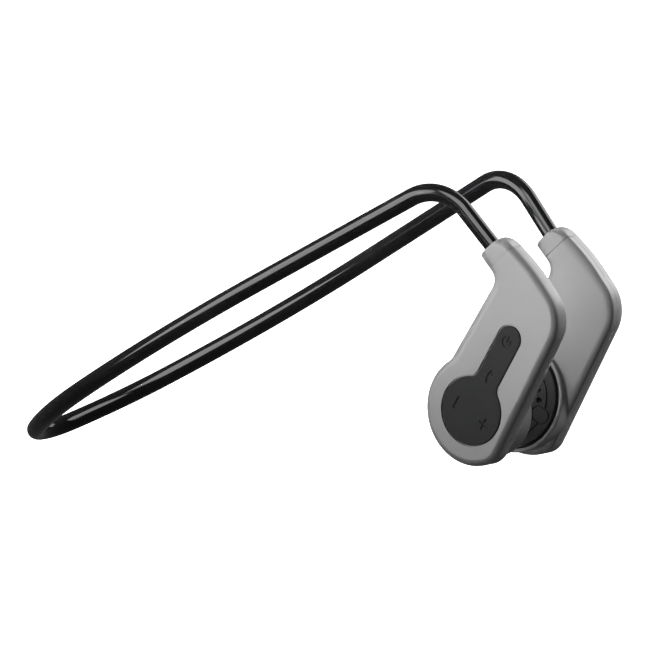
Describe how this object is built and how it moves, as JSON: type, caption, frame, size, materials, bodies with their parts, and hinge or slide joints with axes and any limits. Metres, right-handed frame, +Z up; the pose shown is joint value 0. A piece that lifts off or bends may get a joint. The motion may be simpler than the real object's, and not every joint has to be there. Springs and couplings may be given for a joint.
{
  "type": "bone conduction headphones",
  "caption": "Behind-the-neck headphones: a springy black tube loop with ear hooks, flat grey housings, round inner transducer pads and a keyhole keypad.",
  "frame": {"origin": "bottom centre of the bounding box; the housings' round ends and the band's rear rest on z = 0", "axes": "+X toward the wearer's front, along the band; +Y toward the wearer's left; +Z up"},
  "size_m": [0.1698, 0.0538, 0.0707],
  "materials": {
    "antenna_ceramic": "white ceramic",
    "battery_foil": "silver pouch foil",
    "board_green": "green solder mask",
    "cable_jacket": "black cable jacket",
    "chip_black": "black moulded chip",
    "copper_wire": "enamelled copper",
    "frame_plastic": "grey moulded plastic",
    "gold_plate": "gold-plated pins",
    "housing_plastic": "satin mid-grey moulded plastic",
    "key_rubber": "matt dark grey silicone rubber",
    "pad_silicone": "smooth dark silicone skin",
    "plated_steel": "nickel-plated steel",
    "sleeve_silicone": "glossy black silicone tube",
    "spring_steel": "bright spring steel",
    "surround_rubber": "soft black rubber"
  },
  "bodies": {
    "right_side": {"antenna": "antenna_ceramic", "audio_chip": "chip_black", "board_screws": "spring_steel", "circuit_board": "board_green", "dome_switches": "spring_steel", "keypad": "key_rubber", "microphone": "chip_black", "radio_module": "spring_steel", "rear_sleeve": "sleeve_silicone", "right_collar": "housing_plastic", "right_driver_frame": "frame_plastic", "right_inner_shell": "housing_plastic", "right_leaf_spring": "spring_steel", "right_magnet": "plated_steel", "right_outer_shell": "housing_plastic", "right_pad_surround": "surround_rubber", "right_pole_plate": "plated_steel", "right_sleeve": "sleeve_silicone", "right_wire_anchor": "frame_plastic", "right_yoke": "plated_steel", "signal_cable": "cable_jacket", "spring_wire": "spring_steel"},
    "left_side": {"battery": "battery_foil", "battery_board": "board_green", "left_collar": "housing_plastic", "left_driver_frame": "frame_plastic", "left_inner_shell": "housing_plastic", "left_leaf_spring": "spring_steel", "left_magnet": "plated_steel", "left_outer_shell": "housing_plastic", "left_pad_surround": "surround_rubber", "left_pole_plate": "plated_steel", "left_sleeve": "sleeve_silicone", "left_wire_anchor": "frame_plastic", "left_yoke": "plated_steel"},
    "right_driver": {"right_contact_pad": "pad_silicone", "right_drive_plate": "plated_steel", "right_voice_coil": "copper_wire"},
    "left_driver": {"left_contact_pad": "pad_silicone", "left_drive_plate": "plated_steel", "left_voice_coil": "copper_wire", "charging_contacts": "gold_plate", "locating_tab": "pad_silicone"},
    "key_power": {"key_power": "key_rubber"},
    "key_call": {"key_call": "key_rubber"},
    "key_minus": {"key_minus": "key_rubber"},
    "key_plus": {"key_plus": "key_rubber"}
  },
  "joints": [
    {"name": "band_spread", "type": "hinge", "parent": "right_side", "child": "left_side", "pos_m": [-0.08263, 0, 0.0023], "axis": [-0.4571, 0, 0.8894], "range_deg": [-3, 55], "stiffness_Nm_per_rad": 0.2, "deforming": ["rear_sleeve", "spring_wire", "signal_cable"]},
    {"name": "right_pad_vibration", "type": "slide", "parent": "right_side", "child": "right_driver", "axis": [0, 0.9903, 0.1392], "range_m": [-0.00015, 0.00015], "stiffness_N_per_m": 20000},
    {"name": "left_pad_vibration", "type": "slide", "parent": "left_side", "child": "left_driver", "axis": [0, -0.9903, 0.1392], "range_m": [-0.00015, 0.00015], "stiffness_N_per_m": 20000},
    {"name": "key_power_press", "type": "slide", "parent": "right_side", "child": "key_power", "axis": [0, 1, 0], "range_m": [0, 0.00025], "stiffness_N_per_m": 4000},
    {"name": "key_call_press", "type": "slide", "parent": "right_side", "child": "key_call", "axis": [0, 1, 0], "range_m": [0, 0.00025], "stiffness_N_per_m": 4000},
    {"name": "key_minus_press", "type": "slide", "parent": "right_side", "child": "key_minus", "axis": [0, 1, 0], "range_m": [0, 0.00025], "stiffness_N_per_m": 4000},
    {"name": "key_plus_press", "type": "slide", "parent": "right_side", "child": "key_plus", "axis": [0, 1, 0], "range_m": [0, 0.00025], "stiffness_N_per_m": 4000}
  ]
}
